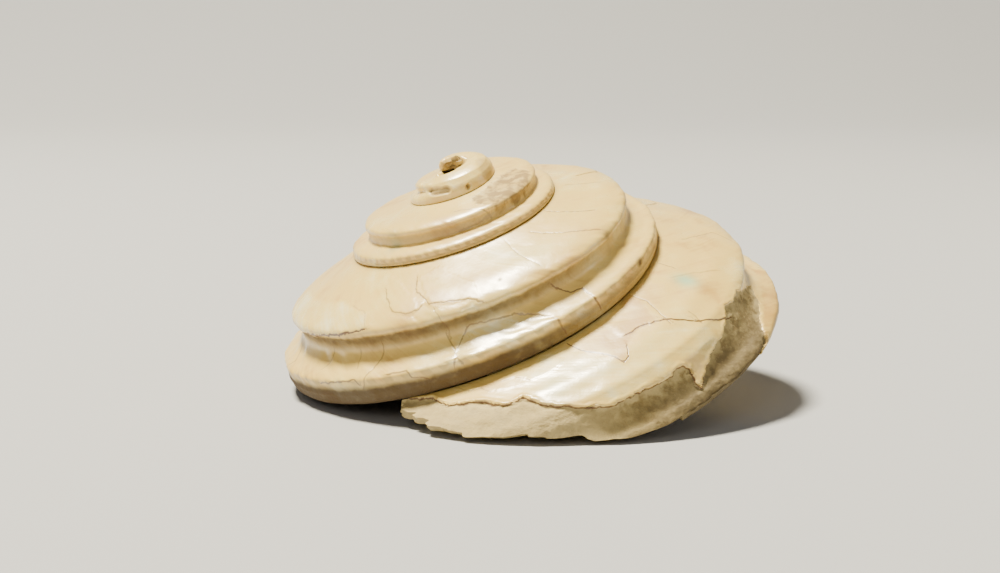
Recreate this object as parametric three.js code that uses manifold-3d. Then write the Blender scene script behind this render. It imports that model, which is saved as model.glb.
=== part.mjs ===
// A worn turban shell, about 80 mm across, lying on its base and the edge of its broken lip.
//
// The shell is one natural piece.  It is laid out round its coiling axis (+Z to the apex, millimetres)
// as a spiral of whorls that turns clockwise seen from the apex, and is then leaned over and set down
// the way it rests.  An angle p counts the growth round the axis: -2*PI*n is n whorls back.
import * as THREE from 'three';
import { mergeVertices } from 'three/addons/utils/BufferGeometryUtils.js';
import Module from 'manifold-3d';

const PI = Math.PI;
const TURN = 2 * PI;

// growth of the lower keel, the widest line of every whorl
const KEEL_RADIUS = 36;                    // where the last whorl begins
const WIDENING = 0.0735;                   // per radian
const SLOWING = 0.0031;                    // per radian squared
const SPIRE = [0.78, -1.40, 2.21, -0.88];  // fall of the spire against radius, both over KEEL_RADIUS
const TIP_LIFT = 0.035;                    // the first whorls stand a little proud
const TIP_SPREAD = 0.2;

// the section of a whorl from the suture above to the lower keel: [share of the way, bulge outwards]
const SECTION = [
  [0, 0], [0.10, 0.028], [0.29, 0.092], [0.48, 0.142],          // the sloping ramp
  [0.60, 0.148], [0.665, 0.115], [0.715, 0.045],                // the upper keel
  [0.80, 0.005], [0.90, 0.012], [0.965, 0.022], [1, 0],         // the hollow band and the lower keel
];
const ROUND_BULGE = [0, 0.10, 0.24, 0.31, 0.32, 0.31, 0.29, 0.24, 0.15, 0.06, 0];   // first whorls, no keels
const KEELS_START = [-3.8, -5.0];          // half turns: fully keeled, fully round

// how far the lower keel hangs over the suture below it, as a share of the whorl's height
const OVERHANG_YOUNG = 0.065;
const OVERHANG_OLD = 0.17;
const OVERHANG_EDGE = 0.035;               // on the last half turn, which no later whorl covers
const UNDER_KEEL = 1.08;                   // shares of the rows below the keel: half way, and the suture
const UNDER_SUTURE = 1.15;

// the base, inwards from the keel: [share of the keel's radius, share of the base depth]
const BASE = [
  [0.86, 0.14], [0.68, 0.50], [0.50, 0.88], [0.36, 1.0], [0.24, 0.86], [0.14, 0.45], [0, 0.25],
];
const BASE_DEPTH = 0.22;                   // share of the keel's radius

// extent of the coil, and the broken lip, which runs back from the suture to the base
const FIRST = -6.717 * PI;
const STEPS = 40;                          // in one turn
const LIP_STEPS = 20;                      // steps that are skewed to end on the lip
const LIP_AT_SUTURE = 1.683 * PI;
const LIP = [                              // [share across the whorl, half turns]
  [0, 1.683], [0.04, 1.683], [0.21, 1.649], [0.42, 1.605], [0.52, 1.579], [0.65, 1.536],
  [0.72, 1.495], [0.77, 1.475], [0.87, 1.435], [0.93, 1.416], [0.97, 1.389], [1, 1.362],
  [1.15, 1.34], [1.3, 1.29], [1.5, 1.18], [1.7, 1.02], [2, 0.9],
];

// the hollow
const WALL = 1.6;
const GLAZE = 0.35;                        // film over the whorl before
const KEEL_PADS = [                        // [inwards, upwards] from the outside, in walls, where it is thick
  [7, 0.8, -0.2], [9, 1.5, 0.3], [10, 2.4, 0.2],
];
const PILLAR = 1.5;                        // from the whorl before to the hollow, beside the axis
const SHOULDER = [0.3, 1.2];               // out and down from the suture above
const HOLLOW_START = 0.75;                 // size of the hollow's blunt inner end
const HOLLOW_FROM = -0.30 * PI;
const HOLLOW_TO = 1.86 * PI;
const HOLLOW_STEPS = 42;

// how it lies
const TIP_FORWARD = 11.3 * PI / 180;
const LEAN_LEFT = 15.04 * PI / 180;
const SWIVEL = 4.2 * PI / 180;
const WORN_OFF = 0.8;                      // flat rubbed on the lowest part of the base

const smooth = (t) => { const x = Math.min(1, Math.max(0, t)); return x * x * (3 - 2 * x); };

function keel(p) {
  const q = Math.exp(WIDENING * p - SLOWING * p * p);
  const fall = q * (SPIRE[0] + q * (SPIRE[1] + q * (SPIRE[2] + q * SPIRE[3])));
  return [KEEL_RADIUS * q, KEEL_RADIUS * (TIP_LIFT * Math.exp(-((q / TIP_SPREAD) ** 2)) - fall)];
}

function whorlHeight(p) {
  const a = keel(p), b = keel(p - TURN);
  return Math.hypot(a[0] - b[0], a[1] - b[1]);
}

function overhang(p) {
  const old = OVERHANG_YOUNG + (OVERHANG_OLD - OVERHANG_YOUNG) * smooth(p / PI + 1.4);
  return old + (OVERHANG_EDGE - old) * smooth((p / PI - 0.2) / 0.5);
}

function suture(p) {                       // the line where the next whorl joins on, under the lower keel
  const k = keel(p), h = whorlHeight(p) * overhang(p);
  const inward = 0.25 + 0.75 * smooth((p / PI - 0.2) / 0.5);
  return [k[0] - inward * h, k[1] - h];
}

// points of the section at p: from the suture above to the suture below, then in over the base
function flank(p) {
  const a = suture(p - TURN), b = keel(p);
  const along = [b[0] - a[0], b[1] - a[1]];
  const young = smooth((p / PI - KEELS_START[0]) / (KEELS_START[1] - KEELS_START[0]));
  const pts = SECTION.map(([s, keeled], i) => {
    const o = keeled + (ROUND_BULGE[i] - keeled) * young;
    return [a[0] + along[0] * s - along[1] * o, a[1] + along[1] * s + along[0] * o];
  });
  const c = suture(p);
  pts.push([(b[0] + c[0]) / 2 + 0.012 * whorlHeight(p), (b[1] + c[1]) / 2], c);
  return pts;
}

function base(p) {
  const r = keel(p)[0], c = suture(p);
  return BASE.map(([s, d]) => [s * r, c[1] - d * BASE_DEPTH * r]);
}

const atAngle = (p, [r, z]) => [-r * Math.cos(p), r * Math.sin(p), z];

function lipAngle(s) {
  let i = 1;
  while (i < LIP.length - 1 && s > LIP[i][0]) i += 1;
  const [s0, a0] = LIP[i - 1], [s1, a1] = LIP[i];
  return PI * (a0 + (a1 - a0) * Math.min(1, (s - s0) / (s1 - s0)));
}

class Skin {
  constructor() { this.points = []; this.faces = []; }
  add(p) { this.points.push(...p); return this.points.length / 3 - 1; }
  quad(a, b, c, d) { this.tri(a, b, c); this.tri(a, c, d); }
  tri(a, b, c) { if (a !== b && b !== c && a !== c) this.faces.push(a, c, b); }
}

// the whole coil as one closed skin, solid inside
function coil() {
  const skin = new Skin();
  const last = Math.round((LIP_AT_SUTURE - FIRST) / TURN * STEPS);
  const sideCount = SECTION.length + 1, baseCount = BASE.length;
  const share = [...SECTION.map((s) => s[0]), UNDER_KEEL, UNDER_SUTURE];
  const stretch = (i, s) => {              // angle of column i; the last columns run out to the lip
    const even = FIRST + i * TURN / STEPS, bend = last - LIP_STEPS;
    if (i <= bend) return even;
    const start = FIRST + bend * TURN / STEPS;
    return start + (i - bend) / LIP_STEPS * (lipAngle(s) - start);
  };
  const columns = [];
  for (let i = 0; i <= last; i += 1) {
    const column = [];
    const exposed = i >= last - STEPS;
    const count = exposed ? sideCount + baseCount : sideCount;
    for (let j = 0; j <= count; j += 1) {
      if (j === 0 && i >= STEPS) { column.push(columns[i - STEPS][sideCount]); continue; }
      const s = j <= sideCount ? share[j]
        : UNDER_SUTURE + (2 - UNDER_SUTURE) * (j - sideCount) / baseCount;
      const p = stretch(i, s);
      const at = j <= sideCount ? flank(p)[j] : base(p)[j - sideCount - 1];
      column.push(skin.add(atAngle(p, at)));
    }
    columns.push(column);
  }
  for (let i = 0; i < last; i += 1) {
    const a = columns[i], b = columns[i + 1];
    const rows = Math.min(a.length, b.length) - 1;
    for (let j = 0; j < rows; j += 1) skin.quad(a[j], a[j + 1], b[j + 1], b[j]);
  }
  // the tip: one point closes the first turn
  const top = skin.add([0, 0, keel(FIRST - PI)[1] + 0.3]);
  for (let i = 0; i < STEPS; i += 1) skin.tri(top, columns[i][0], columns[i + 1][0]);
  skin.tri(top, columns[STEPS][0], columns[0][0]);
  for (let j = 0; j < sideCount; j += 1) skin.tri(columns[0][0], columns[0][j + 1], columns[0][j]);
  // the broken end, from the lip in to the section one turn before
  const outer = columns[last], inner = columns[last - STEPS].slice(sideCount);
  const axis = columns.slice(last - STEPS).map((c) => c[c.length - 1]);
  return { skin, outer, inner, axis };
}

// a strip between the lip and the section one turn before; both run from the suture to the axis
function closeEnd({ skin, outer, inner, axis }) {
  const steps = outer.length - 1, back = inner.length - 1;
  let j = 0;
  for (let i = 0; i < steps; i += 1) {
    const want = Math.min(back, Math.round((i + 1) / steps * back));
    skin.tri(outer[i], outer[i + 1], inner[j]);
    while (j < want) { skin.tri(outer[i + 1], inner[j + 1], inner[j]); j += 1; }
  }
  for (let i = 0; i < axis.length - 1; i += 1) skin.tri(outer[steps], axis[i + 1], axis[i]);
}

// the space inside the last turn: a tube with a rounded section, open past the lip
function hollowSection(p) {
  const side = flank(p), under = base(p), before = base(p - TURN), shoulder = suture(p - TURN);
  const centre = [0, 0];
  const ring = [];
  const inset = (pts, k, d) => {
    const a = pts[Math.max(0, k - 1)], b = pts[Math.min(pts.length - 1, k + 1)];
    const t = [b[0] - a[0], b[1] - a[1]], l = Math.hypot(t[0], t[1]);
    return [pts[k][0] + d * t[1] / l, pts[k][1] - d * t[0] / l];
  };
  const outside = [...side, ...under];
  for (const k of [2, 3, 4]) ring.push(inset(outside, k, WALL));
  for (const [k, inwards, up] of KEEL_PADS) ring.push([side[k][0] - WALL * inwards, side[k][1] + WALL * up]);
  for (const k of [13, 14, 15, 16]) ring.push(inset(outside, k, WALL));
  ring.push([before[4][0] + PILLAR, (before[4][1] + under[4][1]) / 2]);
  for (const k of [3, 2, 1, 0]) ring.push([before[k][0], before[k][1] - GLAZE]);
  ring.push([shoulder[0] + SHOULDER[0], shoulder[1] - SHOULDER[1]]);
  for (const q of ring) { centre[0] += q[0] / ring.length; centre[1] += q[1] / ring.length; }
  return { ring, centre };
}

function hollow() {
  const skin = new Skin();
  const rings = [];
  let first, end;
  for (let i = 0; i <= HOLLOW_STEPS; i += 1) {
    const p = HOLLOW_FROM + (HOLLOW_TO - HOLLOW_FROM) * i / HOLLOW_STEPS;
    const { ring, centre } = hollowSection(p);
    const shrink = i === 0 ? HOLLOW_START : 1;
    rings.push(ring.map((q) => skin.add(atAngle(p,
      [centre[0] + (q[0] - centre[0]) * shrink, centre[1] + (q[1] - centre[1]) * shrink]))));
    if (i === 0) first = skin.add(atAngle(p - 0.05, centre));
    if (i === HOLLOW_STEPS) end = skin.add(atAngle(p, centre));
  }
  const n = rings[0].length;
  for (let i = 0; i < HOLLOW_STEPS; i += 1) {
    for (let j = 0; j < n; j += 1) {
      const k = (j + 1) % n;
      skin.quad(rings[i][j], rings[i][k], rings[i + 1][k], rings[i + 1][j]);
    }
  }
  for (let j = 0; j < n; j += 1) {
    const k = (j + 1) % n;
    skin.tri(first, rings[0][k], rings[0][j]);
    skin.tri(end, rings[HOLLOW_STEPS][j], rings[HOLLOW_STEPS][k]);
  }
  return skin;
}

const wasm = await Module();
wasm.setup();

function solid(skin) {
  return new wasm.Manifold(new wasm.Mesh({
    numProp: 3, vertProperties: new Float32Array(skin.points), triVerts: new Uint32Array(skin.faces),
  }));
}

function setDown(body) {                   // lean the shell over, rub the underside flat, put it on z = 0
  const pose = new THREE.Matrix4().makeRotationX(TIP_FORWARD)
    .multiply(new THREE.Matrix4().makeRotationY(-LEAN_LEFT))
    .multiply(new THREE.Matrix4().makeRotationZ(SWIVEL));
  const leaning = body.transform(pose.elements);
  const low = leaning.boundingBox().min[2] + WORN_OFF;
  const kept = leaning.trimByPlane([0, 0, 1], low);
  const { min, max } = kept.boundingBox();
  return kept.translate([-(min[0] + max[0]) / 2, -(min[1] + max[1]) / 2, -min[2]]);
}

function asMesh(body) {
  const { vertProperties, triVerts } = body.getMesh();
  const geometry = new THREE.BufferGeometry();
  geometry.setAttribute('position', new THREE.BufferAttribute(new Float32Array(vertProperties), 3));
  geometry.setIndex(new THREE.BufferAttribute(new Uint32Array(triVerts), 1));
  return mergeVertices(geometry, 1e-4);
}

const whole = coil();
closeEnd(whole);
const shellBody = setDown(solid(whole.skin).subtract(solid(hollow())));

const shell = new THREE.Mesh(
  asMesh(shellBody),
  new THREE.MeshStandardMaterial({ color: 0xe6d2a3, roughness: 0.42, metalness: 0 }),
);
shell.name = 'shell';

const part = new THREE.Group();
part.add(shell);
export default part;
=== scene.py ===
"""A worn turban shell: pearly cream whorls with spiral keels, flaking over a chalky brown layer.

The shell is laid out round its coiling axis (+Z to the apex, millimetres) and then leaned over and set
down.  A growth angle `turn` counts half turns: the last whorl starts at -1/3 and ends at the broken lip.
A `share` says where across a whorl a point lies: 0 at the suture above it, 1 at its lower keel.
"""

import math

import bpy
import numpy as np
from mathutils import Matrix, Vector


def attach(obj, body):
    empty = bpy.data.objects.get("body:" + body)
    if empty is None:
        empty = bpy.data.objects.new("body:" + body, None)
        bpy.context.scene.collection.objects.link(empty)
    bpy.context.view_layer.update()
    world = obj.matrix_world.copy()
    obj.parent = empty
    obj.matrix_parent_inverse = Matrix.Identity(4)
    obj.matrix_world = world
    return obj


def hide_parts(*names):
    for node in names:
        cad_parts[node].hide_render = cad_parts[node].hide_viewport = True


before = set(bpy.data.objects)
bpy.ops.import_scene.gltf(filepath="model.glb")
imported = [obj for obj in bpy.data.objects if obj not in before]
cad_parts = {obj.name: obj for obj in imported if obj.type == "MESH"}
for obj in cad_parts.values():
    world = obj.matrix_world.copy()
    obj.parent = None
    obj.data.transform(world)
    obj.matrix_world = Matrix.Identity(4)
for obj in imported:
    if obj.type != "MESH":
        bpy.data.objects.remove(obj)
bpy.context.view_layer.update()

MM = 0.001
PI = math.pi
TURN = 2 * PI

# ------------------------------------------------------------------ growth of the shell

KEEL_RADIUS = 36.0                     # where the last whorl begins
WIDENING, SLOWING = 0.0735, 0.0031     # per radian, per radian squared
SPIRE = (0.78, -1.40, 2.21, -0.88)     # fall of the spire against radius, both over KEEL_RADIUS
TIP_LIFT, TIP_SPREAD = 0.035, 0.2      # the first whorls stand a little proud

# the section of a whorl: (share of the way from the suture to the lower keel, bulge outwards)
SECTION = np.array([(0, 0), (0.10, 0.030), (0.20, 0.062), (0.30, 0.093), (0.41, 0.124), (0.52, 0.146),
                    (0.595, 0.153), (0.635, 0.146), (0.66, 0.118), (0.68, 0.074), (0.705, 0.030),
                    (0.74, 0.006), (0.80, -0.002), (0.87, 0.006), (0.93, 0.024), (0.975, 0.028), (1, 0)])
# the same shares bulge otherwise where the whorls are young and round, where the lower keel is a fat
# cord high on the spire, and where both keels fade towards the lip
ROUND_BULGE = np.interp(SECTION[:, 0], (0, 0.10, 0.29, 0.48, 0.60, 0.80, 0.90, 1),
                        (0, 0.10, 0.24, 0.31, 0.32, 0.24, 0.15, 0))
CORD_BULGE = np.interp(SECTION[:, 0],
                       (0, 0.52, 0.595, 0.635, 0.66, 0.68, 0.705, 0.74, 0.80, 0.87, 0.93, 0.975, 1),
                       (0, 0.146, 0.156, 0.150, 0.118, 0.070, 0.024, 0.006, 0.018, 0.038, 0.045, 0.034, 0))
SOFT_BULGE = np.interp(SECTION[:, 0], (0, 0.20, 0.41, 0.60, 0.70, 0.78, 0.88, 0.95, 1),
                       (0, 0.075, 0.142, 0.160, 0.130, 0.070, 0.026, 0.028, 0))
OVERHANG_YOUNG, OVERHANG_OLD, OVERHANG_EDGE = 0.065, 0.17, 0.035
UNDER_SHARE = 1.15                     # share of the suture below, where the base begins
# the base, inwards from the keel: (share of the keel's radius, share of the base depth)
BASE = np.array([(0.86, 0.14), (0.68, 0.50), (0.50, 0.88), (0.36, 1.0), (0.24, 0.86), (0.14, 0.45),
                 (0.02, 0.25)])
BASE_DEPTH = 0.22
FIRST, LAST = -6.7, 1.683              # half turns
BASE_FROM = -0.36                      # the base shows from here on
LIP = np.array([(0, 1.683), (0.04, 1.683), (0.21, 1.649), (0.42, 1.605), (0.52, 1.579), (0.65, 1.536),
                (0.72, 1.495), (0.77, 1.475), (0.87, 1.435), (0.93, 1.416), (0.97, 1.389), (1, 1.362),
                (1.15, 1.34), (1.3, 1.29), (1.5, 1.18), (1.7, 1.02), (2, 0.9)])
WALL, GLAZE = 1.6, 0.35                # thickness of the wall, and of the glaze inside the mouth
KEEL_WALL = 1.2                        # how much thicker the wall is at the lower keel, in walls

TIP_FORWARD, LEAN_LEFT, SWIVEL = math.radians(11.3), math.radians(15.04), math.radians(4.2)
SET_DOWN = (-11.579, -4.167, 38.370)


def smooth(t):
    """Eased step from 0 to 1."""
    t = np.clip(t, 0, 1)
    return t * t * (3 - 2 * t)


def keel(p):
    """(radius, height) of the lower keel at growth angle p."""
    q = np.exp(WIDENING * p - SLOWING * p * p)
    fall = q * (SPIRE[0] + q * (SPIRE[1] + q * (SPIRE[2] + q * SPIRE[3])))
    z = TIP_LIFT * np.exp(-(q / TIP_SPREAD) ** 2) - fall
    return np.stack([KEEL_RADIUS * q, KEEL_RADIUS * z], -1)


def whorl_height(p):
    """From the lower keel of the whorl before to this one."""
    d = keel(p) - keel(p - TURN)
    return np.hypot(d[..., 0], d[..., 1])


def overhang(p):
    """How far the suture lies below the keel, in whorl heights."""
    old = OVERHANG_YOUNG + (OVERHANG_OLD - OVERHANG_YOUNG) * smooth(p / PI + 1.4)
    return old + (OVERHANG_EDGE - old) * smooth((p / PI - 0.2) / 0.5)


def suture(p):
    """Where the next whorl starts, tucked in under the lower keel."""
    k, h = keel(p), whorl_height(p) * overhang(p)
    inward = 0.25 + 0.75 * smooth((p / PI - 0.2) / 0.5)
    return np.stack([k[..., 0] - inward * h, k[..., 1] - h], -1)


def curve_through(points, t):
    """Catmull-Rom through points (..., n, 2) at t, counted in points."""
    n = points.shape[-2]
    i = np.clip(np.floor(t).astype(int), 0, n - 2)
    f = (t - i)[..., None]

    def pick(k):
        k = np.clip(k, 0, n - 1)[..., None, None]
        k = np.broadcast_to(k, points.shape[:-2] + (1, 2))
        return np.take_along_axis(points, k, axis=-2)[..., 0, :]

    p0, p1, p2, p3 = pick(i - 1), pick(i), pick(i + 1), pick(i + 2)
    v0, v1 = (p2 - p0) / 2, (p3 - p1) / 2
    return p1 + v0 * f + (3 * (p2 - p1) - 2 * v0 - v1) * f * f + (2 * (p1 - p2) + v0 + v1) * f ** 3


def flank_points(p):
    """Points of the section from the suture above to the suture below."""
    a, b = suture(p - TURN), keel(p)
    along = b - a
    out = np.stack([-along[..., 1], along[..., 0]], -1)
    turn = (p / PI)[..., None, None]
    corded = smooth((-turn - 1.0) / 0.8)
    young = smooth((-turn - 3.9) / 0.5)
    swollen = ROUND_BULGE[:, None] * (0.72 + 0.28 * smooth(-turn - 4.6))
    soft = smooth((turn - 1.0) / 0.25)
    bulge = SECTION[:, 1:] + (CORD_BULGE[:, None] - SECTION[:, 1:]) * corded
    bulge = bulge + (swollen - bulge) * young + (SOFT_BULGE[:, None] - bulge) * soft
    points = a[..., None, :] + along[..., None, :] * SECTION[:, :1] + out[..., None, :] * bulge
    c = suture(p)
    h = whorl_height(p)[..., None]
    mid = (b + c) / 2 + np.array([0.012, 0]) * h
    return np.concatenate([points, mid[..., None, :], c[..., None, :]], -2)


def base_points(p):
    """Points of the section from the suture below in to the axis."""
    r, c = keel(p)[..., 0], suture(p)
    return np.stack([np.stack([s * r, c[..., 1] - d * BASE_DEPTH * r], -1) for s, d in BASE], -2)


SHARES = np.concatenate([SECTION[:, 0], [1.08, UNDER_SHARE],
                         UNDER_SHARE + (2 - UNDER_SHARE) * np.arange(1, len(BASE) + 1) / len(BASE)])


def section_at(p, share):
    """(radius, height) of the outside of the shell."""
    points = np.concatenate([flank_points(p), base_points(p)], -2)
    t = np.interp(share, SHARES, np.arange(len(SHARES)))
    return curve_through(points, t)


def around(p, rz):
    """(radius, height) at growth angle p as a point round the axis."""
    return np.stack([-rz[..., 0] * np.cos(p), rz[..., 0] * np.sin(p), rz[..., 1]], -1)


def set_down(v):
    """From the shell's own axis to where it lies, still in millimetres."""
    pose = (Matrix.Rotation(TIP_FORWARD, 3, 'X') @ Matrix.Rotation(-LEAN_LEFT, 3, 'Y')
            @ Matrix.Rotation(SWIVEL, 3, 'Z'))
    v = v @ np.array(pose).T + np.array(SET_DOWN)
    v[..., 2] = np.maximum(v[..., 2], 0)                 # the underside is rubbed flat
    return v


# ------------------------------------------------------------------ seeded noise

def lattice(ix, iy, iz, seed):
    """A fixed random value from -1 to 1 at each whole-numbered point."""
    h = (ix.astype(np.int64) * 374761393 + iy.astype(np.int64) * 668265263
         + iz.astype(np.int64) * 2147483647 + seed * 1274126177)
    h = (h ^ (h >> 13)) * 1274126177
    h = h ^ (h >> 16)
    return (h & 0xFFFFF) / float(0x7FFFF) - 1.0


def noise(x, y, z, seed=0):
    """Smooth value noise from -1 to 1."""
    x, y, z = np.broadcast_arrays(*(np.asarray(a, float) for a in (x, y, z)))
    ix, iy, iz = (np.floor(a).astype(int) for a in (x, y, z))
    fx, fy, fz = smooth(x - ix), smooth(y - iy), smooth(z - iz)
    total = 0
    for dx in (0, 1):
        for dy in (0, 1):
            for dz in (0, 1):
                w = (fx if dx else 1 - fx) * (fy if dy else 1 - fy) * (fz if dz else 1 - fz)
                total = total + w * lattice(ix + dx, iy + dy, iz + dz, seed)
    return total


def rough(v, size, octaves=3, seed=0):
    """Layered noise over points v, its largest bumps about `size` across."""
    total, amount, q = 0, 1.0, v / size
    for k in range(octaves):
        total = total + amount * noise(q[..., 0], q[..., 1], q[..., 2], seed + k)
        amount *= 0.5
        q = q * 2.03 + 7.1
    return total


# ------------------------------------------------------------------ cracks, flakes and plates

# where the pearl is gone and the chalky layer shows, (turn, share) from the lip backwards and round
PEARL_EDGE = [(1.72, -0.05), (1.629, 0.06), (1.600, 0.19), (1.568, 0.23), (1.546, 0.28), (1.521, 0.39),
              (1.501, 0.36), (1.482, 0.50), (1.464, 0.56), (1.444, 0.64), (1.413, 0.72), (1.371, 0.72),
              (1.333, 0.74), (1.321, 0.71), (1.306, 0.76), (1.306, 0.905), (1.286, 0.82), (1.262, 0.775),
              (1.235, 0.735), (1.215, 0.69), (1.203, 0.62), (1.179, 0.655), (1.156, 0.638), (1.146, 0.67),
              (1.119, 0.70), (1.094, 0.735), (1.078, 0.775), (1.10, 0.80), (1.112, 0.845), (1.148, 0.875),
              (1.168, 0.93), (1.182, 1.0), (1.20, 1.12), (1.24, 1.5), (1.30, 2.1), (1.9, 2.1),
              (1.9, -0.05)]

# each flake edge: line, height in mm of the side to its left, how far the height reaches, darkness
FLAKES = (
    ([(.08, .655), (-.02, .656), (-.106, .655), (-.179, .645), (-.219, .635), (-.262, .615)], 0.08, 6, 1.0),
    ([(1.341, .28), (1.314, .29), (1.284, .37), (1.25, .57), (1.225, .66), (1.203, .71)], 0.11, 6, 1.0),
    ([(1.413, .05), (1.402, .20), (1.381, .34), (1.373, .47), (1.363, .45), (1.353, .36)], 0.03, 5, 1.0),
    ([(-.258, .25), (-.308, .49), (-.337, .54), (-.361, .53), (-.366, .49)], 0.06, 5, 0.5),
    ([(-.329, .17), (-.345, .33), (-.382, .50), (-.421, .53), (-.456, .56), (-.477, .62)], 0.06, 5, 0.6),
    ([(-.416, .994), (-.423, .827), (-.431, .76), (-.441, .708), (-.465, .715), (-.498, .735),
      (-.525, .742), (-.552, .818), (-.578, .917), (-.586, 1.039), (-.59, 1.089)], 0.08, 6, 0.6),
    ([(-.604, .692), (-.617, .732), (-.634, .802), (-.655, .825), (-.653, .968), (-.661, 1.074)],
     0.06, 4, 0.8),
    ([(-.26, .60), (-.243, .46), (-.20, .40)], 0.04, 4, 0.25),
    ([(1.523, .124), (1.505, .132), (1.487, .225), (1.466, .242), (1.44, .21)], 0.06, 3, 0.4),
    ([(1.59, .03), (1.57, .11), (1.555, .12), (1.54, .19), (1.52, .22), (1.50, .24)], 0.06, 3, 0.35),
    ([(-2.434, .425), (-2.477, .462), (-2.524, .60), (-2.563, .689)], 0.07, 2.5, 0.5),
    ([(-2.563, .689), (-2.521, .708), (-2.484, .708), (-2.441, .706)], 0.04, 2, 0.35),
    ([(-.171, .989), (-.211, .98), (-.248, .969), (-.258, 1.0)], 0.08, 2, 0.7),
    ([(-.309, .956), (-.341, .952), (-.349, 1.003), (-.37, 1.035)], 0.08, 2, 0.6),
    ([(1.194, .194), (1.166, .302), (1.138, .458)], 0.04, 2, 0.25),
    ([(-1.05, .30), (-1.08, .55), (-1.16, .62), (-1.17, .80)], 0.11, 5, 0.6),
    ([(.62, .20), (.55, .42), (.53, .66), (.44, .70), (.40, .88)], 0.13, 6, 0.7),
    ([(.90, .12), (.86, .35), (.80, .47)], 0.11, 5, 0.6),
    ([(.16, .15), (.10, .34), (.09, .52), (.02, .60)], 0.12, 5, 0.6),
    ([(-1.62, .22), (-1.70, .45), (-1.73, .66)], 0.08, 3, 0.5),
)

# each crack: line, depth in mm, darkness
CRACKS = (
    ([(-.285, .69), (-.282, .80), (-.270, .92), (-.262, 1.04)], .04, 0.45),
    ([(-.165, .70), (-.165, .80), (-.155, .88)], .03, 0.35),
    ([(-.235, .72), (-.240, .86)], .02, 0.3),
    ([(1.269, .04), (1.267, .16), (1.28, .35), (1.284, .42)], .03, 0.55),
    ([(1.249, .452), (1.249, .514), (1.252, .564)], .02, 0.4),
    ([(1.163, .072), (1.167, .179)], .03, 0.55),
    ([(-.569, .079), (-.571, .212), (-.581, .373), (-.598, .539)], .02, 0.45),
    ([(-.749, .05), (-.78, .22), (-.817, .42)], .03, 0.7),
    ([(-.642, .14), (-.70, .38), (-.758, .58)], .03, 0.65),
    ([(-.966, .12), (-.987, .44)], .03, 0.5),
    ([(-.403, .72), (-.416, .86), (-.418, .94), (-.426, 1.0)], .02, 0.5),
    ([(-.39, .55), (-.405, .66), (-.41, .75)], .02, 0.35),
    ([(1.06, .2), (1.01, .44), (1.03, .62)], .03, 0.45),
    ([(.34, .1), (.27, .40), (.22, .58)], .03, 0.55),
    ([(-.02, .78), (-.05, .90), (-.04, 1.0)], .03, 0.5),
    ([(-1.32, .1), (-1.40, .50)], .03, 0.45),
    ([(-1.48, .74), (-1.52, .88), (-1.51, 1.0)], .03, 0.45),
)

# each plate: outline, height in mm, colour shift (+ pale, - tan)
PLATES = (
    ([(1.413, .05), (1.402, .20), (1.381, .34), (1.373, .47), (1.363, .45), (1.353, .36), (1.349, .34),
      (1.316, .31), (1.291, .33), (1.277, .15), (1.27, .03), (1.334, .04)], 0.0, -0.6),
    ([(-.219, .20), (-.308, .49), (-.337, .55), (-.361, .53), (-.344, .39), (-.281, .17), (-.216, .05)],
     0.05, 0.15),
    ([(-.337, .17), (-.382, .49), (-.424, .55), (-.456, .56), (-.477, .62), (-.468, .40), (-.384, .10)],
     0.05, -0.3),
    ([(.04, .655), (-.032, .652), (-.145, .64), (-.216, .625), (-.26, .60), (-.248, .48), (-.162, .36),
      (-.088, .40), (.04, .44)], 0.05, 0.9),
    ([(1.0, .86), (1.1, .86), (1.2, .94), (1.25, 1.0), (1.25, 1.1), (1.0, 1.1)], 0.0, -0.7),
    ([(-.423, .73), (-.448, .72), (-.517, .75), (-.569, .88), (-.584, 1.0), (-.5, 1.02), (-.424, 1.0),
      (-.420, .85)], 0.0, 0.75),
    ([(1.46, .05), (1.415, .06), (1.40, .25), (1.37, .50), (1.35, .36), (1.30, .42), (1.25, .62),
      (1.25, .73), (1.32, .69), (1.41, .69), (1.46, .53), (1.50, .33)], 0.0, 0.5),
    ([(-.358, .515), (-.371, .482), (-.395, .55), (-.41, .66), (-.375, .68), (-.35, .58)], -0.08, 0.6),
    ([(-.46, .60), (-.47, .655), (-.447, .66), (-.44, .62)], -0.12, 0.8),
    ([(-.40, .955), (-.418, .96), (-.425, 1.0), (-.405, 1.005)], -0.12, 0.8),
    ([(-.50, .16), (-.56, .10), (-.66, .22), (-.72, .50), (-.62, .58), (-.52, .46)], 0.0, 0.5),
)

# the brown, eroded patch high on the spire
WORN = [(-2.526, .18), (-2.656, .10), (-2.813, .128), (-2.95, .30), (-2.88, .55), (-2.76, .69),
        (-2.693, .709), (-2.629, .686), (-2.57, .60), (-2.53, .40)]

# faint colour spots: (turn, share), radius in mm, (green, brown)
SPOTS = (((1.19, .29), 2.0, 1.0, 0.0), ((1.46, .39), 3.0, 0.45, 0.0), ((-.517, .49), 0.33, 0.0, 0.9),
         ((-.76, .66), 1.3, 0.0, 0.55), ((-.78, 1.0), 0.8, 0.0, 0.9), ((-2.2, .74), 1.6, 0.35, 0.35),
         ((1.08, .98), 6.0, 0.0, 0.3))

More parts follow.
